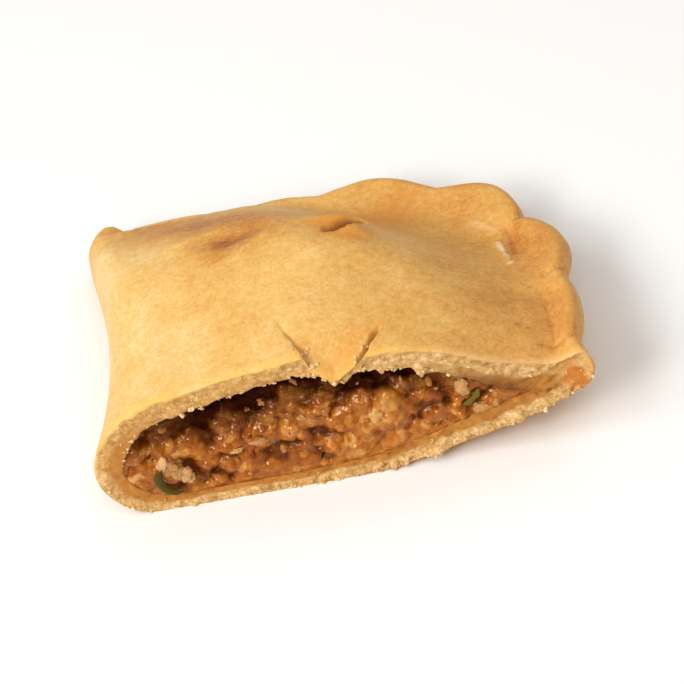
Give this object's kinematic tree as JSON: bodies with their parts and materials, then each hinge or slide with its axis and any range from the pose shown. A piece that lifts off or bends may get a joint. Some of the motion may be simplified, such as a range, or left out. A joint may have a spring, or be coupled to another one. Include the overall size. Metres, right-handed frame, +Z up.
{
  "type": "empanadilla half",
  "caption": "Half of a baked, folded dough turnover with scalloped, sealed rims, cut across so that its moist minced filling shows.",
  "frame": {"origin": "under the middle of the bounding box, on the surface the half lies on", "axes": "+Z up; +X along the cut, from the fold to the sealed rim; +Y from the cut to the back rim, so the cut faces -Y"},
  "size_m": [0.1056, 0.0782, 0.0327],
  "materials": {
    "baked_dough": "golden baked dough, satin",
    "moist_filling": "moist cooked mince, glossy"
  },
  "bodies": {
    "root": {"crust": "baked_dough", "filling": "moist_filling"}
  },
  "joints": []
}
